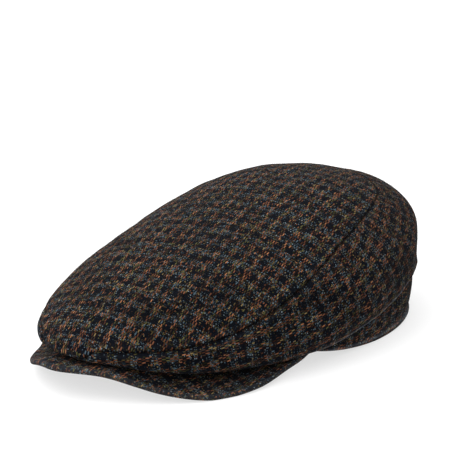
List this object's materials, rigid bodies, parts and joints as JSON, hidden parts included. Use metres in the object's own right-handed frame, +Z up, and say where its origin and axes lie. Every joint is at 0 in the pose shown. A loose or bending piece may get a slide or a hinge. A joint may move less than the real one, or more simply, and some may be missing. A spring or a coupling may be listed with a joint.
{
  "type": "flat cap",
  "caption": "Tweed flat cap: a low rounded crown of a long top panel between side panels, sloping to the front over a curved stiff peak, on a soft head band.",
  "frame": {"origin": "centre of the bounding box in X and Y, at the level of the surface the cap rests on", "axes": "+Z up; -Y to the front, where the peak points; +X to the wearer's left"},
  "size_m": [0.184, 0.285, 0.0849],
  "materials": {
    "tweed": "matt woven wool, dark charcoal with rust and blue-grey flecks"
  },
  "bodies": {
    "root": {"crown_top": "tweed", "side_panel_left": "tweed", "side_panel_right": "tweed", "band": "tweed", "peak": "tweed"}
  },
  "joints": []
}
